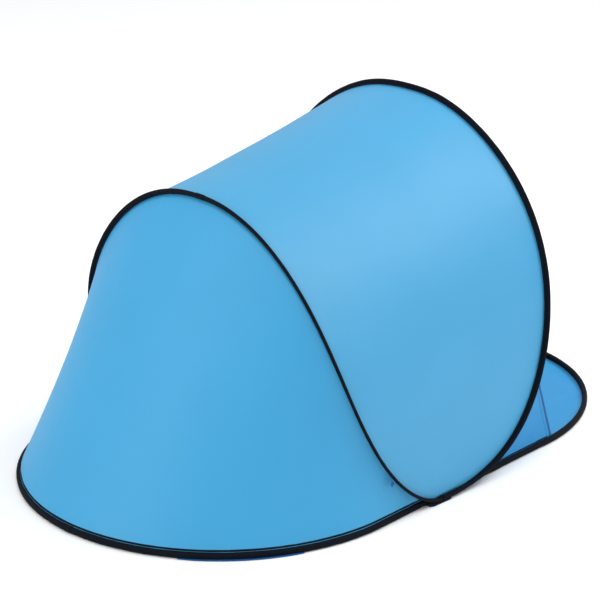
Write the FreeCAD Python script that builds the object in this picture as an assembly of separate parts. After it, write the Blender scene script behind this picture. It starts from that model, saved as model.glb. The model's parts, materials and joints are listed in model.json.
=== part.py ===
"""Pop up tent for one or two people: two closed spring-wire hoops, each in a sewn sleeve, joined at both sides.

The roof hoop is bent into a rear arch and a taller front arch. The floor hoop lies on the ground. Thin taut
fabric spans the hoops. The tent folds like a book about one cross axis through the two side crossings.
Units are millimetres. +Z is up, the open front faces -Y, and the origin is the middle of the ground footprint.
Soft pieces are plain closed solids here.
"""
import FreeCAD
import Part

import math
import os

# Driving dimensions. "Ahead" is the distance along -Y from the cross axis, and "up" is above the hoop at rest.
SLEEVE_RADIUS = 9.0
SLEEVE_WALL = 1.5
WIRE_RADIUS = 1.75
RING_Z = 10.0               # height of a hoop's centre line where it lies on the ground
HALF_LENGTH = 1000.0        # half of the tent's overall length
REAR_REACH = 882.0          # floor hoop, behind the cross axis
FRONT_REACH = 1099.0        # floor hoop, ahead of the cross axis
REAR_HALF_WIDTH = 608.0
FRONT_HALF_WIDTH = 562.5
REAR_STRAIGHT = 272.0       # where the straight sides end, behind and ahead
FRONT_STRAIGHT = 500.0
ROOF_FOOT = 612.5           # half width of the roof hoop at its lowest points
FABRIC = 1.0                # modelled thickness of every fabric sheet
FABRIC_EDGE = 12.0          # from a hoop's centre line to the edge of the modelled sheet
TAUT_SAG = 28.0             # how far a stretched panel pulls in between its two hoops

# Each arch: reach of its top along Y, extra swell low down, height, and the powers of its outline.
REAR_ARCH = {"reach": -367.5, "swell": -99.0, "height": 854.5, "run": 0.675, "rise": 1.082, "round": 0.921,
             "shoulder": 0.030}
FRONT_ARCH = {"reach": 490.0, "swell": 158.0, "height": 1017.0, "run": 0.418, "rise": 0.967, "round": 0.837,
              "shoulder": 0.106}

ELLIPSE_LENGTHENING = 1.5   # roughly, how much longer a quarter of a hoop's round end is than its reach
INNER_HEIGHT = 150.0        # height of the inside point that normals turn away from
SAMPLES = 400               # dense points from which even spacings are read
HOOP_SPANS = 22             # spans of a half hoop's centre line, each of two tangent arcs
HOOP_GAP = 3.0              # from the cross axis to the cut end of a half hoop's wire and sleeve
PANEL_END = 0.86            # how far down towards the crossings the modelled panels reach
SHEET_ROWS = 25
SHEET_COLUMNS = 9

# The side gusset closes the gap between the front arch's foot and the floor hoop.
GUSSET_LOW_TURN = 0.973     # on the arch: where the gusset starts, and where its hem ends
GUSSET_HEM_TURN = 0.84
GUSSET_LOW_AHEAD = 250.0    # on the floor hoop: the same two ends
GUSSET_HEM_AHEAD = 560.0
GUSSET_ROWS = 9
HEM_RADIUS = 3.0
HEM_ROOM = 2.2 * HEM_RADIUS  # from the hem's centre line back to the gusset's edge

FERRULE_LENGTH = 40.0
FERRULE_RADIUS = 3.5
FERRULE_BORE = 1.8
SLEEVE_PATCH_LENGTH = 36.0
SLEEVE_PATCH_INNER = 9.1
SLEEVE_PATCH_OUTER = 10.0
GROUND_INSET = 14.0         # from the floor hoop's centre line to the groundsheet's edge
CROSSING_PATCH = {"inner": 583.0, "outer": 624.0, "length": 90.0, "thickness": 0.4}
SEAM_TAPE_WIDTH = 20.0
SEAM_TAB = {"turn": 0.895, "length": 16.0, "width": 12.0, "thickness": 1.2, "clearance": 10.0}
AXIS_GAP = 0.5              # between the two groundsheets and the cross axis

HINGE_Y = HALF_LENGTH - SLEEVE_PATCH_OUTER - REAR_REACH


def place(side, ahead, up):
    """A point from its distance to the side, ahead of the cross axis, and above the hoop's resting height."""
    return FreeCAD.Vector(side, HINGE_Y - ahead, RING_Z + up)


def arch_point(arch, turn):
    """turn runs from -1, the left foot, through 0, the top, to 1, the right foot."""
    angle = abs(turn) * math.pi / 2
    level = max(math.cos(angle), 0.0)
    run = level ** arch["run"]
    ahead = arch["reach"] * run + arch["swell"] * math.sin(math.pi * run)
    bulge = 1 + arch["shoulder"] * math.sin(2 * angle) ** 2
    side = math.copysign(ROOF_FOOT * math.sin(angle) ** arch["round"] * bulge, turn)
    return place(side, ahead, arch["height"] * level ** arch["rise"])


def floor_half_width(ahead):
    """Half width of the floor hoop: straight sides that narrow to the front, then half an ellipse at each end."""
    if -REAR_STRAIGHT <= ahead <= FRONT_STRAIGHT:
        share = (ahead + REAR_STRAIGHT) / (FRONT_STRAIGHT + REAR_STRAIGHT)
        return REAR_HALF_WIDTH + share * (FRONT_HALF_WIDTH - REAR_HALF_WIDTH)
    straight, reach, width = floor_end(1 if ahead > 0 else -1)
    return width * math.sqrt(1 - ((abs(ahead) - straight) / (reach - straight)) ** 2)


def floor_end(direction):
    """Straight length, reach and half width of the floor hoop's front end (1) or rear end (-1)."""
    if direction > 0:
        return FRONT_STRAIGHT, FRONT_REACH, FRONT_HALF_WIDTH
    return REAR_STRAIGHT, REAR_REACH, REAR_HALF_WIDTH


def floor_point(direction, turn):
    """turn runs from -1, the left crossing, round one end of the floor hoop to 1, the right crossing."""
    straight, reach, width = floor_end(direction)
    arc_share = 1 - straight / (straight + ELLIPSE_LENGTHENING * (reach - straight))
    if abs(turn) > arc_share:
        ahead = direction * straight * (1 - abs(turn)) / (1 - arc_share)
        return place(math.copysign(floor_half_width(ahead), turn), ahead, 0)
    angle = turn / arc_share * math.pi / 2
    return place(width * math.sin(angle), direction * (straight + (reach - straight) * math.cos(angle)), 0)


def rear_arch(turn):
    return arch_point(REAR_ARCH, turn)


def front_arch(turn):
    return arch_point(FRONT_ARCH, turn)


def rear_floor(turn):
    return floor_point(-1, turn)


def porch_floor(turn):
    return floor_point(1, turn)


def even_points(curve, spans):
    """Points at equal distances along a curve, with its direction at each."""
    dense = [curve(-1 + 2 * i / SAMPLES) for i in range(SAMPLES + 1)]
    travelled = [0.0]
    for before, after in zip(dense, dense[1:]):
        travelled.append(travelled[-1] + (after - before).Length)
    points, directions = [], []
    step = 0
    for i in range(spans + 1):
        wanted = travelled[-1] * i / spans
        while step < SAMPLES - 1 and travelled[step + 1] < wanted:
            step += 1
        share = (wanted - travelled[step]) / (travelled[step + 1] - travelled[step])
        points.append(dense[step] + (dense[step + 1] - dense[step]) * share)
        directions.append((dense[min(step + 2, SAMPLES)] - dense[max(step - 1, 0)]).normalize())
    return points, directions


def arc_or_line(start, control, end):
    """The edge from start to end whose end tangents meet at control, which is equally far from both."""
    chord = end - start
    middle = start + chord * 0.5
    rise = control - middle
    if rise.Length < 1e-4 * chord.Length:
        return Part.LineSegment(start, end).toShape()
    half_turn = math.atan2(rise.Length, chord.Length / 2)
    sagitta = chord.Length / 2 * math.tan(half_turn / 2)
    return Part.Arc(start, middle + rise.normalize() * sagitta, end).toShape()


def smooth_wire(points, directions):
    """Tangent arcs, two to a span, through points with given directions."""
    edges = []
    for p0, p1, t0, t1 in zip(points, points[1:], directions, directions[1:]):
        span = p1 - p0
        square = span.dot(span)
        along = span.dot(t0 + t1)
        spread = 2 * (1 - t0.dot(t1))
        if spread < 1e-9:
            reach = square / (2 * along)
        else:
            reach = (math.sqrt(along ** 2 + spread * square) - along) / spread
        first = p0 + t0 * reach
        second = p1 - t1 * reach
        joint = (first + second) * 0.5
        edges.append(arc_or_line(p0, first, joint))
        edges.append(arc_or_line(joint, second, p1))
    return Part.Wire(edges)


def disc(centre, direction, radius):
    return Part.Face(Part.Wire(Part.Circle(centre, direction, radius).toShape()))


def pipe(points, directions, outer, inner=0.0):
    """A round tube, or a bar if inner is 0, along a smooth line."""
    path = smooth_wire(points, directions)
    solid = path.makePipe(disc(points[0], directions[0], outer))
    if inner:
        solid = solid.cut(path.makePipe(disc(points[0], directions[0], inner)))
    return solid


def half_hoop(curve, outer, inner=0.0):
    """Half a hoop, cut off square a short way before each crossing."""
    points, directions = even_points(curve, HOOP_SPANS)
    points[0] = points[0] + directions[0] * HOOP_GAP
    points[-1] = points[-1] - directions[-1] * HOOP_GAP
    return pipe(points, directions, outer, inner)


def wire_rod(curve):
    return half_hoop(curve, WIRE_RADIUS)


def sleeve(curve):
    return half_hoop(curve, SLEEVE_RADIUS, SLEEVE_RADIUS - SLEEVE_WALL)


def collar(curve, length, outer, inner):
    """A short tube that follows the middle of a half hoop."""
    points, directions = even_points(curve, HOOP_SPANS)
    beside = slice(HOOP_SPANS // 2 - 1, HOOP_SPANS // 2 + 2)
    before, after = smooth_wire(points[beside], directions[beside]).Edges[1:3]
    start = before.getParameterByLength(before.Length - length / 2)
    end = after.getParameterByLength(length / 2)
    path = Part.Wire([before.Curve.toShape(start, before.LastParameter),
                      after.Curve.toShape(after.FirstParameter, end)])
    centre, direction = before.valueAt(start), before.tangentAt(start)
    solid = path.makePipe(disc(centre, direction, outer))
    return solid.cut(path.makePipe(disc(centre, direction, inner)))


def outward_normals(grid):
    """Unit normals of a grid of points, on the side away from the tent's inside."""
    rows, columns = len(grid), len(grid[0])
    inside = FreeCAD.Vector(0, HINGE_Y, INNER_HEIGHT)
    normals = []
    for i in range(rows):
        line = []
        for j in range(columns):
            down = grid[min(i + 1, rows - 1)][j] - grid[max(i - 1, 0)][j]
            along = grid[i][min(j + 1, columns - 1)] - grid[i][max(j - 1, 0)]
            normal = down.cross(along).normalize()
            if normal.dot(grid[i][j] - inside) < 0:
                normal = normal * -1
            line.append(normal)
        normals.append(line)
    return normals


def middle_of(edge):
    return edge.valueAt((edge.FirstParameter + edge.LastParameter) / 2)


def thin_solid(grid, thickness=FABRIC):
    """A closed thin solid centred on a grid of points."""
    normals = outward_normals(grid)
    faces = []
    for offset in (thickness / 2, -thickness / 2):
        moved = [[p + n * offset for p, n in zip(*pair)] for pair in zip(grid, normals)]
        surface = Part.BSplineSurface()
        surface.interpolate(moved)
        faces.append(surface.toShape())
    outer, inner = faces
    for edge in outer.Edges:
        twin = min(inner.Edges, key=lambda other: (middle_of(other) - middle_of(edge)).Length)
        faces.append(Part.makeRuledSurface(edge, twin))
    shell = Part.makeShell(faces)
    shell.sewShape()
    solid = Part.makeSolid(shell)
    if solid.Volume < 0:
        solid.reverse()
    return solid


def trimmed_line(a, b, tangent_a, tangent_b, count):
    """Points from hoop to hoop that keep FABRIC_EDGE clear of both centre lines."""
    across = (b - a).normalize()
    start = a + across * (FABRIC_EDGE / across.cross(tangent_a).Length)
    end = b - across * (FABRIC_EDGE / across.cross(tangent_b).Length)
    return [start + (end - start) * (j / (count - 1)) for j in range(count)]


def panel(curve_a, curve_b):
    """A taut sheet between two half hoops, pulled in between them."""
    spans = SAMPLES // 2
    points_a, tangents_a = even_points(curve_a, spans)
    points_b, tangents_b = even_points(curve_b, spans)
    grid = []
    for i in range(SHEET_ROWS):
        turn = PANEL_END * (2 * i / (SHEET_ROWS - 1) - 1)
        index = round((turn + 1) / 2 * spans)
        grid.append(trimmed_line(points_a[index], points_b[index], tangents_a[index], tangents_b[index],
                                 SHEET_COLUMNS))
    normals = outward_normals(grid)
    for i, row in enumerate(grid):
        taper = math.sin(math.pi * i / (SHEET_ROWS - 1))
        for j in range(SHEET_COLUMNS):
            share = j / (SHEET_COLUMNS - 1)
            row[j] = row[j] - normals[i][j] * (TAUT_SAG * taper * 4 * share * (1 - share))
    return thin_solid(grid)


def gusset_line(side, share):
    """The gusset's upper and lower ends, from its low corner (0) to its hem (1), on the left (-1) or right."""
    turn = side * (GUSSET_LOW_TURN + share * (GUSSET_HEM_TURN - GUSSET_LOW_TURN))
    ahead = GUSSET_LOW_AHEAD + share * (GUSSET_HEM_AHEAD - GUSSET_LOW_AHEAD)
    return front_arch(turn), place(side * floor_half_width(ahead), ahead, 0)


def gusset_ends(side, share):
    """A gusset line trimmed clear of the hoops."""
    step = 1e-3
    top, bottom = gusset_line(side, share)
    next_top, next_bottom = gusset_line(side, share + step)
    return trimmed_line(top, bottom, (next_top - top).normalize(), (next_bottom - bottom).normalize(), 3)


def gusset(side):
    """The small side sheet between the front arch's foot and the floor hoop."""
    last = 1 - HEM_ROOM / (GUSSET_HEM_AHEAD - GUSSET_LOW_AHEAD)
    return thin_solid([gusset_ends(side, last * i / (GUSSET_ROWS - 1)) for i in range(GUSSET_ROWS)])


def gusset_hem(side):
    """The rolled front edge of a gusset."""
    top, _, bottom = gusset_ends(side, 1.0)
    return Part.makeCylinder(HEM_RADIUS, (bottom - top).Length, top, bottom - top)


def groundsheet(direction):
    """A flat sheet inside one half of the floor hoop."""
    straight, reach, width = floor_end(direction)
    near = direction * AXIS_GAP
    corners = [FreeCAD.Vector(side * (floor_half_width(ahead) - GROUND_INSET), HINGE_Y - ahead, 0)
               for side, ahead in ((-1, near), (-1, direction * straight), (1, direction * straight), (1, near))]
    centre = FreeCAD.Vector(0, HINGE_Y - direction * straight, 0)
    tip = centre - FreeCAD.Vector(0, direction * (reach - straight - GROUND_INSET), 0)
    end = Part.Arc(Part.Ellipse(tip, corners[2], centre), -math.pi / 2, math.pi / 2).toShape()
    sides = [Part.LineSegment(corners[i], corners[j]).toShape() for i, j in ((0, 1), (2, 3), (3, 0))]
    outline = Part.Wire(Part.__sortEdges__([end] + sides))
    return Part.Face(outline).extrude(FreeCAD.Vector(0, 0, FABRIC))


def floor_seam_tape():
    """The tape that covers the seam across the groundsheet, on its rear half."""
    width = 2 * (floor_half_width(0) - GROUND_INSET - SEAM_TAPE_WIDTH)
    corner = FreeCAD.Vector(-width / 2, HINGE_Y + 2 * AXIS_GAP, FABRIC)
    return Part.makeBox(width, SEAM_TAPE_WIDTH, FABRIC / 2, corner)


def crossing_patch(side):
    """The wear patch on the ground under one side crossing."""
    patch = CROSSING_PATCH
    left = min(side * patch["inner"], side * patch["outer"])
    corner = FreeCAD.Vector(left, HINGE_Y - patch["length"] / 2, 0)
    return Part.makeBox(patch["outer"] - patch["inner"], patch["length"], patch["thickness"], corner)


def seam_tab(side):
    """The loose end of the rear seam, a small tab behind the rear arch's foot."""
    tab = SEAM_TAB
    step = 1e-3
    foot = rear_arch(side * tab["turn"])
    along = (rear_arch(side * (tab["turn"] - step)) - foot).normalize()
    rearward = FreeCAD.Vector(0, 1, 0)
    rearward = (rearward - along * rearward.dot(along)).normalize()
    across = along.cross(rearward)
    corner = foot + rearward * tab["clearance"] - across * (tab["thickness"] / 2) - along * (tab["length"] / 2)
    box = Part.makeBox(tab["length"], tab["width"], tab["thickness"])
    box.Placement = FreeCAD.Placement(corner, FreeCAD.Rotation(along, rearward, across, "XYZ"))
    return box


def build():
    """Every node's name and its solid."""
    nodes = {}
    halves = {"rear_arch": rear_arch, "front_arch": front_arch, "rear_floor": rear_floor, "porch": porch_floor}
    for name, curve in halves.items():
        nodes[name + "_rod"] = wire_rod(curve)
        nodes[name + "_sleeve"] = sleeve(curve)
    for name in ("rear_arch", "rear_floor"):
        curve = halves[name]
        nodes[name + "_ferrule"] = collar(curve, FERRULE_LENGTH, FERRULE_RADIUS, FERRULE_BORE)
        nodes[name + "_sleeve_patch"] = collar(curve, SLEEVE_PATCH_LENGTH, SLEEVE_PATCH_OUTER, SLEEVE_PATCH_INNER)
    nodes["roof_panel"] = panel(rear_arch, front_arch)
    nodes["rear_panel"] = panel(rear_arch, rear_floor)
    nodes["rear_groundsheet"] = groundsheet(-1)
    nodes["porch_groundsheet"] = groundsheet(1)
    nodes["floor_seam_tape"] = floor_seam_tape()
    for name, side in (("left", -1), ("right", 1)):
        nodes["gusset_" + name] = gusset(side)
        nodes["gusset_hem_" + name] = gusset_hem(side)
        nodes["crossing_patch_" + name] = crossing_patch(side)
        nodes["seam_tab_" + name] = seam_tab(side)
    return nodes


os.makedirs("parts", exist_ok=True)
for node, solid in build().items():
    solid.exportStep("parts/%s.step" % node)
    box = solid.BoundBox
    print("%-26s valid %s  volume %9.0f mm3  %5d..%5d  %5d..%5d  %5.1f..%6.1f" % (
        node, solid.isValid(), solid.Volume, box.XMin, box.XMax, box.YMin, box.YMax, box.ZMin, box.ZMax))
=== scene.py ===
"""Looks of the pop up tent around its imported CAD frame: cloth, sewn sleeves, seams and finishes.

Metres. +Z is up and the open front faces -Y. "Ahead" is the distance along -Y from the cross axis through
both side crossings, and "up" is the height above a hoop's centre line where it lies on the ground.
"""

import json
import math

import bpy
import numpy as np
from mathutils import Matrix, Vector, noise


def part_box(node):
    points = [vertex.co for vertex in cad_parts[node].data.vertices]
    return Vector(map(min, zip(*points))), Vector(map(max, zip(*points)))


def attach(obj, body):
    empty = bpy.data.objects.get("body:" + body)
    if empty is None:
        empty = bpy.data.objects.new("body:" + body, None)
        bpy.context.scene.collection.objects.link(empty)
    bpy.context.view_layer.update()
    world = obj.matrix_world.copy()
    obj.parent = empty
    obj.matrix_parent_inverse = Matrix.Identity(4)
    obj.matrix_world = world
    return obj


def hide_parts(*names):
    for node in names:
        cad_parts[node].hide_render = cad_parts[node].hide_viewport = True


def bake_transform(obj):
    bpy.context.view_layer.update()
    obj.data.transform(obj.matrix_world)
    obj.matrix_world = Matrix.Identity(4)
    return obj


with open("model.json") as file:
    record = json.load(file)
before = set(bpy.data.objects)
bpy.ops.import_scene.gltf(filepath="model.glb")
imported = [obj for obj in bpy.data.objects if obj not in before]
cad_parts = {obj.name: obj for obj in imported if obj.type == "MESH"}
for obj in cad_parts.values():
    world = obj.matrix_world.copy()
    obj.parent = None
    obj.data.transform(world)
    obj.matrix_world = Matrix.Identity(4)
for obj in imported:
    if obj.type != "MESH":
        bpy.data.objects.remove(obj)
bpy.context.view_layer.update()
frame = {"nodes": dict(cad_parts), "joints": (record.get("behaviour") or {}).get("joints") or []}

# The hoops' shapes. Reaches and heights come from the frame.
AXIS = frame["joints"][0]["pos_m"]
HINGE_Y, RING_Z = AXIS[1], AXIS[2]
WIRE_RADIUS = 0.00175
REAR_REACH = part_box("rear_floor_rod")[1].y - WIRE_RADIUS - HINGE_Y
FRONT_REACH = HINGE_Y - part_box("porch_rod")[0].y - WIRE_RADIUS
REAR_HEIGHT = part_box("rear_arch_rod")[1].z - WIRE_RADIUS - RING_Z
FRONT_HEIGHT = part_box("front_arch_rod")[1].z - WIRE_RADIUS - RING_Z
REAR_HALF_WIDTH = 0.608
FRONT_HALF_WIDTH = 0.5625
REAR_STRAIGHT = 0.272
FRONT_STRAIGHT = 0.500
ELLIPSE_LENGTHENING = 1.5
ROOF_FOOT = 0.6125
REAR_ARCH = {"reach": -0.3675, "swell": -0.099, "height": REAR_HEIGHT, "run": 0.675, "rise": 1.082,
             "round": 0.921, "shoulder": 0.030}
FRONT_ARCH = {"reach": 0.490, "swell": 0.158, "height": FRONT_HEIGHT, "run": 0.418, "rise": 0.967,
              "round": 0.837, "shoulder": 0.106}
INSIDE_UP_CLOTH = 0.15          # a point inside the tent, which cloth faces away from
INSIDE_UP_ARCH = 0.10           # and the one that an arch's sleeve stands away from

# Sewn details. An arch's sleeve stands out from the tent like a fin. A floor hoop's sleeve is an oval.
FIN_OUTER = 0.0090              # from the hoop's centre line to the fin's round outer edge
FIN_INNER = 0.0100              # and to its seam with the cloth
FIN_HALF_WIDTH = 0.0048
FIN_SEAM_HALF_WIDTH = 0.0012
OVAL_HALF_WIDTH = 0.0085
OVAL_HALF_HEIGHT = 0.0096
SLEEVE_STEP = 0.006             # between a sleeve's rings
CLOTH = 0.0007                  # modelled thickness of the thin cloth
FLOOR_SEAM_UP = 0.0040          # from a floor hoop's centre line up to the edge of the cloth sewn to it
LIP_INNER = 0.0070              # the floor sleeve's folded edge, sewn down on the cloth
LIP_OUTER = 0.0130
LIP_THICKNESS = 0.0011
STITCH_LENGTH = 0.0034
STITCH_PITCH = 0.0048
STITCH_RADIUS = 0.00035
SLEEVE_UNEVEN = 0.05            # how far a sleeve's size wanders, as a share of it

# Camera and light.
CAMERA_TARGET = Vector((0.0, 0.070, 0.448))
CAMERA_PLACE = Vector((-4.500, 4.496, 2.761))
CAMERA_LENS = 134.67
SENSOR = 36.0
FLOOR_SIZE = 60
FLOOR_DROP = 0.0005
FLOOR_COLOUR = (0.96, 0.96, 0.96, 1)
FLOOR_ROUGHNESS = 0.6
WORLD_COLOUR = (0.97, 0.985, 1.0, 1)
WORLD_STRENGTH = 0.86
SOFTBOXES = (                   # name, place, diameter and power
    ("key_softbox", Vector((-1.3, -4.3, 4.7)), 3.4, 140),
    ("side_softbox", Vector((-3.3, -3.6, 4.9)), 3.4, 105),
    ("top_softbox", Vector((-1.0, 1.0, 6.2)), 6.0, 70),
    ("rear_softbox", Vector((1.5, 5.6, 3.2)), 4.5, 105),
)


# ---------------------------------------------------------------- curves

def unit(vectors):
    return vectors / np.maximum(np.linalg.norm(vectors, axis=-1, keepdims=True), 1e-12)


def place(side, ahead, up):
    """Points from their distances to the side, ahead of the cross axis and above the hoops at rest."""
    side, ahead, up = np.broadcast_arrays(side, ahead, up)
    return np.stack([side, HINGE_Y - ahead, RING_Z + up], axis=-1).astype(float)


def arch(shape, turn):
    """turn runs from -1, the left foot, through 0, the top, to 1, the right foot."""
    angle = np.abs(turn) * math.pi / 2
    level = np.clip(np.cos(angle), 0, 1)
    run = level ** shape["run"]
    ahead = shape["reach"] * run + shape["swell"] * np.sin(math.pi * run)
    bulge = 1 + shape["shoulder"] * np.sin(2 * angle) ** 2
    side = np.sign(turn) * ROOF_FOOT * np.sin(angle) ** shape["round"] * bulge
    return place(side, ahead, shape["height"] * level ** shape["rise"])


def floor_half_width(ahead):
    ahead = np.asarray(ahead, float)
    share = (ahead + REAR_STRAIGHT) / (FRONT_STRAIGHT + REAR_STRAIGHT)
    sides = REAR_HALF_WIDTH + np.clip(share, 0, 1) * (FRONT_HALF_WIDTH - REAR_HALF_WIDTH)
    front = np.clip((ahead - FRONT_STRAIGHT) / (FRONT_REACH - FRONT_STRAIGHT), 0, 1)
    rear = np.clip((-ahead - REAR_STRAIGHT) / (REAR_REACH - REAR_STRAIGHT), 0, 1)
    return sides * np.sqrt(1 - front ** 2) * np.sqrt(1 - rear ** 2)


def floor_hoop(direction, turn):
    """turn runs from -1, the left crossing, round the front (direction 1) or rear (-1) end, to 1."""
    straight, reach = (FRONT_STRAIGHT, FRONT_REACH) if direction > 0 else (REAR_STRAIGHT, REAR_REACH)
    arc_share = 1 - straight / (straight + ELLIPSE_LENGTHENING * (reach - straight))
    turn = np.asarray(turn, float)
    angle = np.clip(np.abs(turn) / arc_share, 0, 1) * math.pi / 2
    on_side = np.clip((1 - np.abs(turn)) / (1 - arc_share), 0, 1) * straight
    on_arc = straight + (reach - straight) * np.cos(angle)
    ahead = direction * np.where(np.abs(turn) > arc_share, on_side, on_arc)
    return place(np.sign(turn) * floor_half_width(ahead), ahead, 0.0)


def rear_arch(turn):
    return arch(REAR_ARCH, np.asarray(turn, float))


def front_arch(turn):
    return arch(FRONT_ARCH, np.asarray(turn, float))


def rear_floor(turn):
    return floor_hoop(-1, turn)


def porch_floor(turn):
    return floor_hoop(1, turn)


def lengths_along(points):
    return np.concatenate([[0.0], np.cumsum(np.linalg.norm(np.diff(points, axis=0), axis=1))])


def even_turns(curve, step, low=-1.0, high=1.0):
    """Turn values that are about one step apart along a curve."""
    dense = np.linspace(low, high, 4001)
    travelled = lengths_along(curve(dense))
    return np.interp(np.linspace(0, travelled[-1], round(travelled[-1] / step) + 1), travelled, dense)


def directions(points):
    return unit(np.gradient(points, axis=0))


# ---------------------------------------------------------------- meshes

def mesh_piece(name, points, faces, uvs):
    mesh = bpy.data.meshes.new(name)
    mesh.from_pydata([tuple(p) for p in points], [], faces)
    layer = mesh.uv_layers.new(name="cloth")
    corner_vertex = np.zeros(len(mesh.loops), np.int32)
    mesh.loops.foreach_get("vertex_index", corner_vertex)
    layer.data.foreach_set("uv", np.asarray(uvs, np.float32)[corner_vertex].ravel())
    mesh.polygons.foreach_set("use_smooth", [True] * len(mesh.polygons))
    mesh.update()
    piece = bpy.data.objects.new(name, mesh)
    bpy.context.scene.collection.objects.link(piece)
    return piece


def grid_faces(rows, columns, wrap=False):
    """Quads of a rows by columns grid, closed across the columns if wrap is true."""
    i, j = np.meshgrid(np.arange(rows - 1), np.arange(columns if wrap else columns - 1), indexing="ij")
    k = (j + 1) % columns
    here, below = i * columns, (i + 1) * columns
    return np.stack([here + j, here + k, below + k, below + j], axis=-1).reshape(-1, 4)


def grid_normals(grid):
    """Unit normals of a grid of points, away from the tent's inside."""
    normals = unit(np.cross(np.gradient(grid, axis=0), np.gradient(grid, axis=1)))
    away = grid - np.array([0.0, HINGE_Y, INSIDE_UP_CLOTH])
    return normals * np.where(np.sum(normals * away, axis=-1, keepdims=True) < 0, -1, 1)


def cloth_piece(name, grid, thickness=CLOTH):
    """A closed thin sheet centred on a grid of points, with its cloth coordinates in metres."""
    rows, columns = grid.shape[:2]
    normals = grid_normals(grid)
    layers = [grid + normals * (thickness / 2), grid - normals * (thickness / 2)]
    points = np.concatenate([layer.reshape(-1, 3) for layer in layers])
    top = grid_faces(rows, columns)
    count = rows * columns
    index = np.arange(count).reshape(rows, columns)
    rim = np.concatenate([index[0, :], index[1:, -1], index[-1, -2::-1], index[-2:0:-1, 0]])
    after = np.roll(rim, -1)
    sides = np.stack([after, rim, rim + count, after + count], axis=-1)
    if np.sum(np.cross(grid[0, 1] - grid[0, 0], grid[1, 0] - grid[0, 0]) * normals[0, 0]) < 0:
        top, sides = top[:, ::-1], sides[:, ::-1]
    faces = np.concatenate([top, top[:, ::-1] + count, sides])
    middle = columns // 2
    along = lengths_along(grid[:, middle])
    across = np.zeros((rows, columns))
    across[:, 1:] = np.cumsum(np.linalg.norm(np.diff(grid, axis=1), axis=2), axis=1)
    across -= across[:, middle:middle + 1]
    uvs = np.stack([np.broadcast_to(along[:, None], across.shape), across], axis=-1).reshape(-1, 2)
    return mesh_piece(name, points, faces.tolist(), np.concatenate([uvs, uvs]))


def sweep(name, points, out, section):
    """A closed bar whose section, given as (across, out) offsets, follows a line of points."""
    along = directions(points)
    out = unit(out - along * np.sum(out * along, axis=1, keepdims=True))
    across = np.cross(along, out)
    section = np.asarray(section, float)
    if section.ndim == 2:
        section = np.broadcast_to(section, (len(points),) + section.shape)
    rings = points[:, None] + across[:, None] * section[:, :, :1] + out[:, None] * section[:, :, 1:]
    rows, columns = rings.shape[:2]
    faces = grid_faces(rows, columns, wrap=True)[:, ::-1].tolist()
    faces.append(list(range(columns)))
    faces.append([(rows - 1) * columns + j for j in reversed(range(columns))])
    travelled = lengths_along(points)
    girth = np.linalg.norm(section[0] - np.roll(section[0], 1, axis=0), axis=1)
    round_it = np.cumsum(girth) - girth[0]
    uvs = np.stack(np.broadcast_arrays(travelled[:, None], round_it[None]), axis=-1).reshape(-1, 2)
    return mesh_piece(name, rings.reshape(-1, 3), faces, uvs)


# ---------------------------------------------------------------- what moves with what


def finish_piece(piece, material, zone=None, body=None, replaces=()):
    """Gives a piece its material, its motion and the CAD nodes it stands for."""
    piece.data.materials.clear()
    piece.data.materials.append(material)
    if zone:
        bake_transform(piece)
    else:
        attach(piece, body)
    if replaces:
        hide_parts(*replaces)
    return piece


# ---------------------------------------------------------------- materials

def node(tree, kind, **inputs):
    made = tree.nodes.new(kind)
    for name, value in inputs.items():
        made.inputs[name.replace("_", " ")].default_value = value
    return made


def math_node(tree, operation, a, b=None):
    made = tree.nodes.new("ShaderNodeMath")
    made.operation = operation
    for socket, value in zip(made.inputs, (a, b)):
        if value is None:
            continue
        if isinstance(value, (int, float)):
            socket.default_value = value
        else:
            tree.links.new(value, socket)
    return made.outputs[0]


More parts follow.
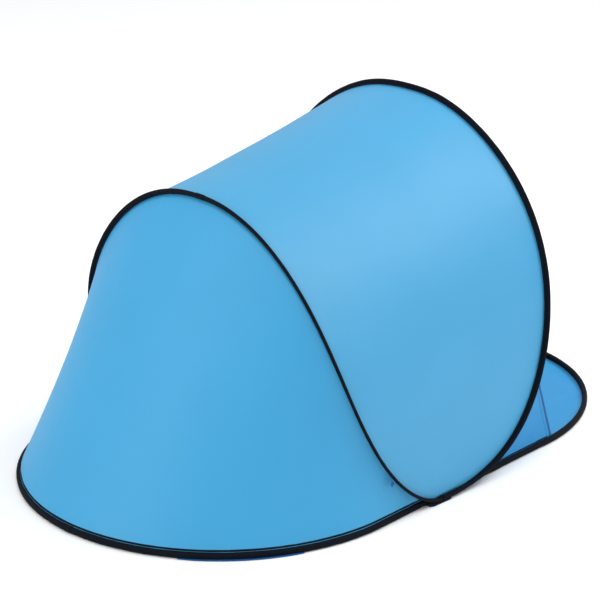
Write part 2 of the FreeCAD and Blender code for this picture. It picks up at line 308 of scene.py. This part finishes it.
def woven(name, colour, pitch, roughness, sheen, depth, patchiness, see_through=0.0, specular=0.5):
    """Woven cloth: a plain weave of this pitch, uneven yarns, faint colour patches and soft creases."""
    material = bpy.data.materials.new(name)
    material.use_nodes = True
    tree = material.node_tree
    shader = tree.nodes["Principled BSDF"]
    coordinates = tree.nodes.new("ShaderNodeUVMap")
    coordinates.uv_map = "cloth"
    split = tree.nodes.new("ShaderNodeSeparateXYZ")
    tree.links.new(coordinates.outputs[0], split.inputs[0])
    warp = math_node(tree, "SINE", math_node(tree, "MULTIPLY", split.outputs[0], 2 * math.pi / pitch))
    weft = math_node(tree, "SINE", math_node(tree, "MULTIPLY", split.outputs[1], 2 * math.pi / pitch))
    weave = math_node(tree, "MULTIPLY", warp, weft)

    patches = node(tree, "ShaderNodeTexNoise", Scale=4.0, Detail=3.0)
    streaks = node(tree, "ShaderNodeTexNoise", Scale=1.0, Detail=2.0)
    stretch = tree.nodes.new("ShaderNodeMapping")
    stretch.inputs["Scale"].default_value = (8.0, 900.0, 1.0)
    tree.links.new(coordinates.outputs[0], stretch.inputs[0])
    tree.links.new(stretch.outputs[0], streaks.inputs["Vector"])
    tree.links.new(coordinates.outputs[0], patches.inputs["Vector"])
    uneven = math_node(tree, "ADD", math_node(tree, "MULTIPLY", patches.outputs[0], 0.7),
                       math_node(tree, "MULTIPLY", streaks.outputs[0], 0.3))
    uneven = math_node(tree, "ADD", uneven, math_node(tree, "MULTIPLY", weave, 0.12))
    ramp = tree.nodes.new("ShaderNodeValToRGB")
    dark, light = ramp.color_ramp.elements
    dark.position, light.position = 0.3, 0.7
    dark.color = tuple(c * (1 - patchiness) for c in colour) + (1,)
    light.color = tuple(c * (1 + patchiness) for c in colour) + (1,)
    tree.links.new(uneven, ramp.inputs[0])
    tree.links.new(ramp.outputs[0], shader.inputs["Base Color"])

    creases = node(tree, "ShaderNodeTexNoise", Scale=26.0, Detail=4.0, Roughness=0.55)
    tree.links.new(coordinates.outputs[0], creases.inputs["Vector"])
    rough = tree.nodes.new("ShaderNodeMapRange")
    rough.inputs["To Min"].default_value = roughness - 0.05
    rough.inputs["To Max"].default_value = roughness + 0.05
    tree.links.new(creases.outputs[0], rough.inputs["Value"])
    tree.links.new(rough.outputs[0], shader.inputs["Roughness"])
    soft_bump = node(tree, "ShaderNodeBump", Strength=0.35, Distance=0.0012)
    tree.links.new(creases.outputs[0], soft_bump.inputs["Height"])
    weave_bump = node(tree, "ShaderNodeBump", Strength=0.5, Distance=depth)
    tree.links.new(weave, weave_bump.inputs["Height"])
    tree.links.new(soft_bump.outputs[0], weave_bump.inputs["Normal"])
    tree.links.new(weave_bump.outputs[0], shader.inputs["Normal"])

    shader.inputs["Sheen Weight"].default_value = sheen
    shader.inputs["Sheen Roughness"].default_value = 0.4
    shader.inputs["Specular IOR Level"].default_value = specular
    if see_through:
        behind = tree.nodes.new("ShaderNodeBsdfTranslucent")
        tree.links.new(ramp.outputs[0], behind.inputs["Color"])
        mix = node(tree, "ShaderNodeMixShader", Fac=see_through)
        tree.links.new(shader.outputs[0], mix.inputs[1])
        tree.links.new(behind.outputs[0], mix.inputs[2])
        tree.links.new(mix.outputs[0], tree.nodes["Material Output"].inputs["Surface"])
    return material


def metal(name, colour, roughness):
    """Drawn steel with fine marks along it."""
    material = bpy.data.materials.new(name)
    material.use_nodes = True
    tree = material.node_tree
    shader = tree.nodes["Principled BSDF"]
    shader.inputs["Metallic"].default_value = 1.0
    shader.inputs["Base Color"].default_value = colour + (1,)
    marks = node(tree, "ShaderNodeTexNoise", Scale=400.0, Detail=3.0)
    rough = tree.nodes.new("ShaderNodeMapRange")
    rough.inputs["To Min"].default_value = roughness - 0.08
    rough.inputs["To Max"].default_value = roughness + 0.12
    tree.links.new(marks.outputs[0], rough.inputs["Value"])
    tree.links.new(rough.outputs[0], shader.inputs["Roughness"])
    bump = node(tree, "ShaderNodeBump", Strength=0.2, Distance=0.0002)
    tree.links.new(marks.outputs[0], bump.inputs["Height"])
    tree.links.new(bump.outputs[0], shader.inputs["Normal"])
    return material


PANEL = woven("panel_taffeta", (0.050, 0.415, 0.725), pitch=0.0006, roughness=0.48, sheen=0.0,
              depth=0.00006, patchiness=0.02, see_through=0.25)
# The roof is the rear panel's taffeta given a paler, less blue colour: a painted highlight.
ROOF_PAINTED_HIGHLIGHT = woven("roof_taffeta", (0.068, 0.405, 0.685), pitch=0.0006, roughness=0.46, sheen=0.0,
             depth=0.00006, patchiness=0.02, see_through=0.25, specular=0.55)
# The gussets are the panels' taffeta given a darker colour: painted shade.
GUSSET_PAINTED_SHADE = woven("gusset_taffeta", (0.014, 0.270, 0.600), pitch=0.0006, roughness=0.50, sheen=0.0,
               depth=0.00006, patchiness=0.02, see_through=0.15, specular=0.30)
GROUND = woven("ground_taffeta", (0.020, 0.285, 0.590), pitch=0.0009, roughness=0.50, sheen=0.0,
               depth=0.00010, patchiness=0.025, see_through=0.05, specular=0.30)
TAPE = woven("seam_tape", (0.052, 0.270, 0.560), pitch=0.0009, roughness=0.38, sheen=0.05,
             depth=0.00010, patchiness=0.025)
SLEEVE = woven("sleeve_oxford", (0.0035, 0.0050, 0.0095), pitch=0.0012, roughness=0.70, sheen=0.0,
               depth=0.00025, patchiness=0.25, specular=0.07)
PATCH = woven("patch_oxford", (0.018, 0.030, 0.060), pitch=0.0012, roughness=0.65, sheen=0.05,
              depth=0.00025, patchiness=0.15, specular=0.2)
TRIM = woven("trim_binding", (0.010, 0.095, 0.290), pitch=0.0010, roughness=0.60, sheen=0.0,
             depth=0.00020, patchiness=0.10, specular=0.2)
THREAD = woven("sewing_thread", (0.020, 0.024, 0.032), pitch=0.0008, roughness=0.55, sheen=0.20,
               depth=0.00010, patchiness=0.15)
SPRING_WIRE = metal("spring_steel", (0.42, 0.43, 0.45), 0.32)
FERRULE_STEEL = metal("ferrule_steel", (0.62, 0.62, 0.63), 0.28)


# ---------------------------------------------------------------- cloth between hoops

def second_difference(count):
    return 2 * np.eye(count) - np.eye(count, k=1) - np.eye(count, k=-1)


def taut(edge_a, edge_b, columns, pull):
    """A net stretched between two edges. pull is the tension along the edges beside the tension across."""
    share = np.linspace(0, 1, columns)[None, :, None]
    grid = edge_a[:, None] * (1 - share) + edge_b[:, None] * share
    rows = len(edge_a)
    force = np.zeros((rows - 2, columns - 2, 3))
    force[0] += pull * grid[0, 1:-1]
    force[-1] += pull * grid[-1, 1:-1]
    force[:, 0] += grid[1:-1, 0]
    force[:, -1] += grid[1:-1, -1]
    along, along_modes = np.linalg.eigh(pull * second_difference(rows - 2))
    across, across_modes = np.linalg.eigh(second_difference(columns - 2))
    for k in range(3):
        modes = along_modes.T @ force[:, :, k] @ across_modes / (along[:, None] + across[None])
        grid[1:-1, 1:-1, k] = along_modes @ modes @ across_modes.T
    return grid


def edge_inwards(grid):
    """Along a grid's last column: unit vectors in the cloth, square to that edge, into the cloth."""
    along = directions(grid[:, -1])
    inwards = grid[:, -2] - grid[:, -1]
    return unit(inwards - along * np.sum(inwards * along, axis=1, keepdims=True))


def soft_noise(points, scale, seed):
    shift = Vector((seed * 7.3, seed * 3.1, seed * 5.7))
    flat = points.reshape(-1, 3)
    values = [noise.noise(Vector(p) * scale + shift) for p in flat]
    return np.array(values).reshape(points.shape[:-1])


def ease(value, low, high):
    share = np.clip((value - low) / (high - low), 0, 1)
    return share * share * (3 - 2 * share)


def ruffle(grid, seed, broad=0.0022, pucker=0.0009):
    """Small departures of real cloth from a perfect net: broad slack, and puckers at the sewn edges."""
    normals = grid_normals(grid)
    rows, columns = grid.shape[:2]
    gap = np.linalg.norm(grid[:, -1] - grid[:, 0], axis=1)[:, None]
    share = np.linspace(0, 1, columns)[None]
    free = ease(np.minimum(share, 1 - share) * gap, 0.0, 0.06)
    free = free * ease(np.minimum(np.arange(rows), np.arange(rows)[::-1]), 0, 6)[:, None]
    height = broad * soft_noise(grid, 5.0, seed) * free
    for distance, edge, side in ((share * gap, grid[:, 0], 0), ((1 - share) * gap, grid[:, -1], 1)):
        travelled = lengths_along(edge)
        wave = np.array([noise.noise(Vector((s * 38.0, seed * 4.1, side * 9.7))) for s in travelled])
        fade = np.exp(-((distance / 0.045) ** 1.3)) * ease(distance, 0.002, 0.012)
        height = height + pucker * wave[:, None] * fade
    return grid + normals * height[..., None]


# ---------------------------------------------------------------- hoops and their sleeves

def outwards(points):
    """Unit directions away from the tent's inside, square to an arch that runs through these points."""
    along = directions(points)
    out = points - np.array([0.0, HINGE_Y, INSIDE_UP_ARCH])
    return unit(out - along * np.sum(out * along, axis=1, keepdims=True))


def upwards(points):
    return np.broadcast_to([0.0, 0.0, 1.0], points.shape).astype(float)


def fin_half_width(out):
    """Half the width of an arch's sleeve, from its seam to its round outer edge."""
    belly = FIN_OUTER - 1.25 * FIN_HALF_WIDTH
    outer = FIN_HALF_WIDTH * np.sqrt(np.clip(1 - ((out - belly) / (FIN_OUTER - belly)) ** 2, 0, 1))
    inner = FIN_SEAM_HALF_WIDTH + (FIN_HALF_WIDTH - FIN_SEAM_HALF_WIDTH) * ease(out, -0.9 * FIN_INNER, belly)
    return np.where(out > belly, outer, inner)


def fin_section():
    rounded = FIN_OUTER * np.sin(np.linspace(0, math.pi / 2, 8))
    out = np.concatenate([np.linspace(-FIN_INNER, 0.0, 7), rounded[1:]])
    width = fin_half_width(out)
    right = np.stack([width, out], axis=-1)
    return np.concatenate([right[:-1], right[:0:-1] * [-1, 1], [[-width[0], out[0]]]])


def oval_section(half_width, half_height, count=22, squareness=0.85):
    angles = np.linspace(0, 2 * math.pi, count, endpoint=False)
    c, s = np.cos(angles), np.sin(angles)
    return np.stack([half_width * np.sign(c) * np.abs(c) ** squareness,
                     half_height * np.sign(s) * np.abs(s) ** squareness], axis=-1)


FIN = fin_section()
OVAL = oval_section(OVAL_HALF_WIDTH, OVAL_HALF_HEIGHT)
HOOPS = {
    "rear_arch": {"curve": rear_arch, "zone": "roof", "out": outwards, "section": FIN},
    "front_arch": {"curve": front_arch, "zone": "roof", "out": outwards, "section": FIN},
    "rear_floor": {"curve": rear_floor, "zone": "rear", "out": upwards, "section": OVAL},
    "porch": {"curve": porch_floor, "zone": "porch", "out": upwards, "section": OVAL},
}


def wander(travelled, pitch, seed):
    """Smooth chance values from -1 to 1 along a length."""
    return np.array([noise.noise(Vector((s / pitch, 3.3 * seed, 1.7))) for s in travelled])


def sleeve(name, seed):
    """A sewn sleeve along half a hoop, a little uneven, as cloth drawn over a wire is."""
    hoop = HOOPS[name]
    points = hoop["curve"](even_turns(hoop["curve"], SLEEVE_STEP))
    travelled = lengths_along(points)
    size = (1 + SLEEVE_UNEVEN * wander(travelled, 0.035, seed)
            + SLEEVE_UNEVEN * wander(travelled, 0.15, seed + 10))
    section = hoop["section"][None] * np.stack([size, np.minimum(size, 1.02)], axis=-1)[:, None]
    piece = sweep(name + "_sleeve_cloth", points, hoop["out"](points), section)
    return finish_piece(piece, SLEEVE, zone=hoop["zone"], replaces=[name + "_sleeve"])


def rod(name):
    hoop = HOOPS[name]
    points = hoop["curve"](even_turns(hoop["curve"], 2 * SLEEVE_STEP))
    section = oval_section(WIRE_RADIUS, WIRE_RADIUS, 10, 1.0)
    piece = sweep(name + "_spring_wire", points, hoop["out"](points), section)
    return finish_piece(piece, SPRING_WIRE, zone=hoop["zone"], replaces=[name + "_rod"])


def cuff(name, hoop_name, turn, length, growth, replaces=()):
    """A short second layer round a sleeve: an overlap of its strips, or a patch over the wire's joint."""
    hoop = HOOPS[hoop_name]
    turns = np.linspace(turn - 0.1, turn + 0.1, 2001)
    travelled = lengths_along(hoop["curve"](turns))
    travelled -= np.interp(turn, turns, travelled)
    stations = np.array([-0.5, -0.49, -0.46, -0.42, -0.3, -0.15, 0, 0.15, 0.3, 0.42, 0.46, 0.49, 0.5])
    points = hoop["curve"](np.interp(length * stations, travelled, turns))
    size = growth + np.interp(np.abs(stations), [0.42, 0.46, 0.49, 0.5], [0.03, 0.0, -0.04, -0.12])
    section = hoop["section"][None] * np.stack([size, np.minimum(size, 1.04)], axis=-1)[:, None]
    piece = sweep(name, points, hoop["out"](points), section)
    return finish_piece(piece, SLEEVE, zone=hoop["zone"], replaces=replaces)


for number, name in enumerate(HOOPS):
    sleeve(name, number)
    rod(name)
for name in ("rear_arch", "rear_floor"):
    ferrule = frame["nodes"][name + "_ferrule"]
    ferrule.data.materials.clear()
    ferrule.data.materials.append(FERRULE_STEEL)
cuff("rear_arch_wire_joint_cuff", "rear_arch", -0.010, 0.034, 1.30, replaces=["rear_arch_sleeve_patch"])
cuff("rear_floor_wire_joint_cuff", "rear_floor", -0.012, 0.036, 1.14, replaces=["rear_floor_sleeve_patch"])
cuff("rear_arch_sleeve_overlap", "rear_arch", 0.60, 0.045, 1.12)
cuff("front_arch_sleeve_overlap", "front_arch", -0.985, 0.060, 1.20)
cuff("porch_sleeve_overlap", "porch", -0.80, 0.050, 1.10)


# ---------------------------------------------------------------- sewn edges

def edge_line(name, turns):
    """Where cloth is sewn to a hoop's sleeve: the fin's seam, or the upper side of a floor hoop's oval."""
    hoop = HOOPS[name]
    points = hoop["curve"](turns)
    if hoop["section"] is FIN:
        return points - hoop["out"](points) * (FIN_INNER - CLOTH)
    return points + np.array([0.0, 0.0, FLOOR_SEAM_UP])


def smoothed(vectors, passes=4):
    for _ in range(passes):
        middle = vectors[:-2] + 2 * vectors[1:-1] + vectors[2:]
        vectors = unit(np.concatenate([vectors[:1], middle, vectors[-1:]]))
    return vectors


def stitches(name, middle, up, zone):
    """A row of thread stitches that lie along a line. up points off the cloth."""
    travelled = lengths_along(middle)
    starts = np.arange(STITCH_PITCH, travelled[-1] - STITCH_PITCH, STITCH_PITCH)
    shares = np.linspace(0, 1, 5)
    swell = np.array([0.35, 0.9, 1.0, 0.9, 0.35])
    dip = np.array([-1.6, -0.3, 0.0, -0.3, -1.6]) * STITCH_RADIUS
    angles = np.linspace(0, 2 * math.pi, 6, endpoint=False)
    at = starts[:, None] + STITCH_LENGTH * shares
    centre = np.stack([np.interp(at, travelled, middle[:, k]) for k in range(3)], axis=-1)
    up = unit(np.stack([np.interp(at, travelled, up[:, k]) for k in range(3)], axis=-1))
    forward = np.broadcast_to(unit(centre[:, -1:] - centre[:, :1]), up.shape)
    beside = unit(np.cross(forward, up))
    centre = centre + up * dip[:, None]
    reach = STITCH_RADIUS * swell[:, None, None]
    rings = centre[:, :, None] + reach * (beside[:, :, None] * np.cos(angles)[:, None]
                                          + up[:, :, None] * np.sin(angles)[:, None])
    one = grid_faces(len(shares), len(angles), wrap=True).tolist()
    last = (len(shares) - 1) * len(angles)
    one += [list(range(len(angles)))[::-1], [last + j for j in range(len(angles))]]
    size = len(shares) * len(angles)
    faces = [[corner + size * k for corner in face] for k in range(len(starts)) for face in one]
    uvs = np.stack(np.broadcast_arrays(at[:, :, None], angles * STITCH_RADIUS), axis=-1).reshape(-1, 2)
    piece = mesh_piece(name, rings.reshape(-1, 3), faces, uvs)
    return finish_piece(piece, THREAD, zone=zone)


def fin_stitches(name, zone):
    """Two rows of stitches through an arch's sleeve, one on each face, just off its seam."""
    curve = HOOPS[name]["curve"]
    points = curve(even_turns(curve, SLEEVE_STEP))
    out = outwards(points)
    across = np.cross(directions(points), out)
    depth = -0.68 * FIN_INNER
    rows = []
    for label, side in (("a", 1), ("b", -1)):
        line = points + out * depth + across * side * (fin_half_width(np.array(depth)) + 0.3 * STITCH_RADIUS)
        rows.append(stitches("%s_stitches_%s" % (name, label), line, across * side, zone))
    return rows


def lip(name, line, inwards, out, zone, material, inner=LIP_INNER, outer=LIP_OUTER):
    """A folded edge on the cloth: a flat rounded strip beside a line, sewn down with a row of stitches."""
    half = (outer - inner) / 2
    section = oval_section(half, LIP_THICKNESS, 12, 0.6)
    strip = sweep(name + "_lip", line + inwards * (inner + half), out, section)
    finish_piece(strip, material, zone=zone)
    seam = line + inwards * (inner + 1.45 * half) + out * LIP_THICKNESS
    return [strip, stitches(name + "_stitches", seam, out, zone)]


def sewn_lip(name, hoop_name, turns, grid, zone):
    """A floor sleeve's lip along the last column of a cloth grid, whose rows are at these turns."""
    inwards = smoothed(edge_inwards(grid))
    out = smoothed(grid_normals(grid)[:, -1])
    fine = even_turns(HOOPS[hoop_name]["curve"], SLEEVE_STEP, turns[0], turns[-1])
    inwards, out = (unit(np.stack([np.interp(fine, turns, field[:, k]) for k in range(3)], axis=-1))
                    for field in (inwards, out))
    return lip(name, edge_line(hoop_name, fine), inwards, out, zone, SLEEVE)


def sewn_lip_on_line(name, grid, zone):
    """The same along a grid whose rows aren't at turns of the hoop."""
    inwards = smoothed(edge_inwards(grid))
    out = smoothed(grid_normals(grid)[:, -1])
    return lip(name, grid[:, -1], inwards, out, zone, SLEEVE)


# ---------------------------------------------------------------- panels

PANEL_COLUMNS = 64
PANEL_STEP = 0.010              # between a panel's rows, along its middle line
ROOF_END, REAR_END = 0.998, 0.985       # the turns at which the two panels end
ROOF_PULL, REAR_PULL = 0.10, 0.12


def panel_net(name_a, name_b, end, pull):
    """A taut net between two half hoops, and the turns of its rows, evenly spaced along its middle line."""
    curve_a, curve_b = HOOPS[name_a]["curve"], HOOPS[name_b]["curve"]
    turns = even_turns(lambda turn: (curve_a(turn) + curve_b(turn)) / 2, PANEL_STEP, -end, end)
    return turns, taut(edge_line(name_a, turns), edge_line(name_b, turns), PANEL_COLUMNS, pull)


def roof_panel():
    _, net = panel_net("rear_arch", "front_arch", ROOF_END, ROOF_PULL)
    piece = cloth_piece("roof_panel_cloth", ruffle(net, 1))
    # the roof's cloth colour holds a painted highlight
    finish_piece(piece, ROOF_PAINTED_HIGHLIGHT, zone="roof", replaces=["roof_panel"])
    seams = fin_stitches("rear_arch", "roof") + fin_stitches("front_arch", "roof")


def rear_panel():
    turns, net = panel_net("rear_arch", "rear_floor", REAR_END, REAR_PULL)
    piece = cloth_piece("rear_panel_cloth", ruffle(net, 2))
    finish_piece(piece, PANEL, zone="rear", replaces=["rear_panel"])
    seams = sewn_lip("rear_panel_floor", "rear_floor", turns, net, "rear")


roof_panel()
rear_panel()


# ---------------------------------------------------------------- gussets

GUSSET_LOW_TURN, GUSSET_HEM_TURN = 0.993, 0.84
GUSSET_LOW_AHEAD, GUSSET_HEM_AHEAD = 0.105, 0.560
GUSSET_ROWS, GUSSET_COLUMNS = 60, 36
GUSSET_PULL = 0.35
GUSSET_INSET = 0.001            # of its lower edge, from the floor hoop's centre line
GUSSET_BAND = 0.018             # width of the gusset's folded hem
GUSSET_BAND_START = 0.002
HEM_HALF_WIDTH, HEM_HALF_THICKNESS = 0.0050, 0.0022


def gusset(label, side):
    """The small side sheet between the front arch's foot and the floor hoop, with its folded front hem."""
    share = np.linspace(0, 1, GUSSET_ROWS)
    turns = side * (GUSSET_LOW_TURN + share * (GUSSET_HEM_TURN - GUSSET_LOW_TURN))
    ahead = GUSSET_LOW_AHEAD + share * (GUSSET_HEM_AHEAD - GUSSET_LOW_AHEAD)
    low = place(side * (floor_half_width(ahead) - GUSSET_INSET), ahead, FLOOR_SEAM_UP)
    high = edge_line("front_arch", turns[::-1])[::-1] if side > 0 else edge_line("front_arch", turns)
    net = taut(high, low, GUSSET_COLUMNS, GUSSET_PULL)
    cloth = cloth_piece("gusset_cloth_" + label, ruffle(net, 5 + side))
    # the gusset's cloth colour is the panel taffeta darkened as painted shade
    finish_piece(cloth, GUSSET_PAINTED_SHADE, zone="porch", replaces=["gusset_" + label])

    normals = grid_normals(net)
    hem_line = net[-1, 1:-1]
    back = unit(net[-2, 1:-1] - net[-1, 1:-1])
    out = normals[-1, 1:-1]
    section = oval_section(HEM_HALF_WIDTH, HEM_HALF_THICKNESS, 12, 1.0)
    roll = sweep("gusset_hem_roll_" + label, hem_line, out, section)
    finish_piece(roll, TRIM, zone="porch", replaces=["gusset_hem_" + label])
    # the hem band also uses the panel taffeta darkened as painted shade
    band = lip("gusset_hem_band_" + label, hem_line, back, out, "porch", GUSSET_PAINTED_SHADE,
               GUSSET_BAND_START, GUSSET_BAND)
    seam = sewn_lip_on_line("gusset_floor_" + label, net, "porch")


gusset("left", -1)
gusset("right", 1)


# ---------------------------------------------------------------- groundsheets and what lies on the ground

GROUND_EDGE_UP = 0.0045         # height of the groundsheet's edge, where it enters its sleeve
GROUND_REST = 0.0012            # height of the middle of the sheet where it lies flat
GROUND_RISE = 0.030             # from the sleeve to where the sheet lies flat
GROUND_INSET = 0.004            # of the sheet's edge, from the hoop's centre line
GROUND_STEP = 0.012             # between the sheet's rows
GROUND_TIP_TURN = 0.012         # the first row's turn, just off the hoop's far end
GROUND_COLUMNS = 97
GROUND_RIPPLE = 0.0016
SEAM_ALLOWANCE = 0.010
TAPE_UP = 0.0050                # height of the tape's middle, over the groundsheet's ripples
TAPE_EDGE_DROP = 0.0006
SEAM_TAB_TURN = 0.895
SEAM_TAB_HALF_WIDTH, SEAM_TAB_HALF_LENGTH = 0.0075, 0.0068
PATCH_SHARE = 0.85              # of the CAD patch's width


def groundsheet(label, curve, direction, seed):
    """Half of the floor: flat on the ground with low ripples, rising to its seam inside the floor sleeve."""
    turns = even_turns(curve, GROUND_STEP, GROUND_TIP_TURN, 1.0)
    rim = curve(turns)[::-1]
    share = np.linspace(-1, 1, GROUND_COLUMNS)
    share = np.sign(share) * (1 - (1 - np.abs(share)) ** 1.25)
    grid = np.zeros((len(rim), len(share), 3))
    half_width = (rim[:, 0] - GROUND_INSET)[:, None]
    grid[..., 0] = half_width * share[None]
    grid[..., 1] = rim[:, 1][:, None]
    grid[-1, :, 1] += direction * GROUND_INSET
    tip_gap = np.abs(rim[:, 1] - curve(np.array([0.0]))[0, 1])[:, None]
    side_gap = half_width * (1 - np.abs(share))[None]
    flat = ease(np.minimum(side_gap, tip_gap), GROUND_INSET, GROUND_RISE)
    ripples = 0.5 + 0.5 * soft_noise(grid, 7.0, seed)
    folds = np.clip(soft_noise(grid * [1.0, 0.35, 1.0], 22.0, seed + 3), 0, 1)
    grid[..., 2] = (GROUND_REST + (GROUND_EDGE_UP - GROUND_REST) * (1 - flat)
                    + flat * (GROUND_RIPPLE * ripples + GROUND_RIPPLE * folds))
    return cloth_piece(label, grid)


def rear_groundsheet():
    piece = groundsheet("rear_groundsheet_cloth", rear_floor, -1, 11)
    finish_piece(piece, GROUND, zone="rear", replaces=["rear_groundsheet"])
    tape_low, tape_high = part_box("floor_seam_tape")
    across = np.linspace(tape_low.x, tape_high.x, 120)
    columns = np.linspace(-0.5, 0.5, 9)
    width = tape_high.y - tape_low.y
    strip = np.zeros((len(across), len(columns), 3))
    strip[..., 0] = across[:, None]
    strip[..., 1] = (tape_low.y + tape_high.y) / 2 + columns[None] * width
    strip[..., 2] = TAPE_UP - TAPE_EDGE_DROP * (2 * np.abs(columns[None])) ** 6
    tape = cloth_piece("floor_seam_tape_cloth", strip, 0.0005)
    finish_piece(tape, TAPE, zone="rear", replaces=["floor_seam_tape"])
    for label, column in (("front", 1), ("rear", -2)):
        line = strip[:, column] + [0, 0, 0.0004]
        stitches("floor_seam_tape_stitches_" + label, line, upwards(line), "rear")


def porch_groundsheet():
    piece = groundsheet("porch_groundsheet_cloth", porch_floor, 1, 12)
    finish_piece(piece, GROUND, zone="porch", replaces=["porch_groundsheet"])


rear_groundsheet()
porch_groundsheet()


def seam_allowance_lip():
    """The edge of the rear groundsheet's seam, which shows under the floor sleeve near the rear end."""
    turns = even_turns(rear_floor, SLEEVE_STEP, -0.58, -0.30)
    points = rear_floor(turns)
    outside = unit(np.cross(directions(points), upwards(points)))
    outside *= np.sign(np.sum(outside * (points - [0, HINGE_Y, 0]), axis=1, keepdims=True))
    share = np.linspace(0, 1, len(turns))
    reach = OVAL_HALF_WIDTH + SEAM_ALLOWANCE * (0.25 + 0.3 * np.sin(math.pi * share) ** 0.5
                                                + 0.12 * wander(lengths_along(points), 0.04, 8))
    columns = np.linspace(0.25, 1, 8)
    grid = points[:, None] + outside[:, None] * (reach[:, None] * columns[None])[..., None]
    grid[..., 2] = 0.0012 + 0.0016 * (1 - columns[None])
    piece = cloth_piece("groundsheet_seam_edge", grid, 0.0008)
    finish_piece(piece, TRIM, zone="rear")


def crossing_patch(label, side):
    """The wear patch under a side crossing, with rounded corners and its rim curled up a little."""
    low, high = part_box("crossing_patch_" + label)
    middle, half = (low + high) / 2, (high - low) / 2
    rows, columns = np.linspace(-1, 1, 41), np.linspace(-1, 1, 21)
    v, u = np.meshgrid(rows, columns, indexing="ij")
    corner = 0.30
    squeeze = 1 - corner * np.clip((np.abs(v) - (1 - corner)) / corner, 0, 1) ** 2
    grid = np.zeros((len(rows), len(columns), 3))
    grid[..., 0] = middle.x + u * PATCH_SHARE * half.x * squeeze
    grid[..., 1] = middle.y + v * half.y
    rim = np.maximum(np.abs(u), np.abs(v))
    grid[..., 2] = 0.0005 + 0.0006 * ease(rim, 0.85, 1.0)
    piece = cloth_piece("crossing_patch_cloth_" + label, grid, 0.0008)
    finish_piece(piece, PATCH, body="rear_arch", replaces=["crossing_patch_" + label])


def seam_tab(label, side):
    """The loose end of the rear seam: a scrap of binding that stands off the rear arch's foot."""
    low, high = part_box("seam_tab_" + label)
    middle = np.array((low + high) / 2)
    foot = rear_arch(np.array([side * SEAM_TAB_TURN, side * (SEAM_TAB_TURN - 0.001)]))
    along = unit(foot[1] - foot[0])
    rearward = np.array([0.0, 1.0, 0.0])
    rearward = unit(rearward - along * (rearward @ along))
    outside = np.array([side, 0.0, 0.0])
    v, u = np.meshgrid(np.linspace(-1, 1, 19), np.linspace(-1, 1, 15), indexing="ij")
    taper = 1 - 0.25 * (u + 1) / 2
    bend = 0.0022 * (u + 1) ** 2 / 4 + 0.0008 * np.sin(2.5 * v)
    grid = (middle + along * (v * taper * SEAM_TAB_HALF_WIDTH)[..., None]
            + rearward * (u * SEAM_TAB_HALF_LENGTH)[..., None]
            + outside * (bend + 0.0010)[..., None])
    piece = cloth_piece("seam_tab_cloth_" + label, grid, 0.0012)
    finish_piece(piece, TRIM, zone="roof", replaces=["seam_tab_" + label])


seam_allowance_lip()
for label, side in (("left", -1), ("right", 1)):
    crossing_patch(label, side)
    seam_tab(label, side)


# ---------------------------------------------------------------- floor, light and camera

def studio():
    bpy.ops.mesh.primitive_plane_add(size=FLOOR_SIZE, location=(0, 0, -FLOOR_DROP))
    floor = bpy.context.object
    floor.name = "studio_floor"
    material = bpy.data.materials.new("studio_floor")
    material.use_nodes = True
    shader = material.node_tree.nodes["Principled BSDF"]
    shader.inputs["Base Color"].default_value = FLOOR_COLOUR
    shader.inputs["Roughness"].default_value = FLOOR_ROUGHNESS
    floor.data.materials.append(material)

    world = bpy.data.worlds.new("studio_world")
    world.use_nodes = True
    background = world.node_tree.nodes["Background"]
    background.inputs["Color"].default_value = WORLD_COLOUR
    background.inputs["Strength"].default_value = WORLD_STRENGTH
    bpy.context.scene.world = world

    for name, location, size, power in SOFTBOXES:
        light = bpy.data.lights.new(name, "AREA")
        light.shape = "DISK"
        light.size = size
        light.energy = power
        lamp = bpy.data.objects.new(name, light)
        lamp.location = location
        lamp.rotation_euler = (CAMERA_TARGET - location).to_track_quat("-Z", "Y").to_euler()
        bpy.context.scene.collection.objects.link(lamp)


def camera():
    data = bpy.data.cameras.new("camera")
    data.lens = CAMERA_LENS
    data.sensor_width = SENSOR
    made = bpy.data.objects.new("camera", data)
    made.location = CAMERA_PLACE
    made.rotation_euler = (CAMERA_TARGET - CAMERA_PLACE).to_track_quat("-Z", "Y").to_euler()
    bpy.context.scene.collection.objects.link(made)
    bpy.context.scene.camera = made


studio()
camera()
bpy.context.scene.view_settings.view_transform = "Standard"
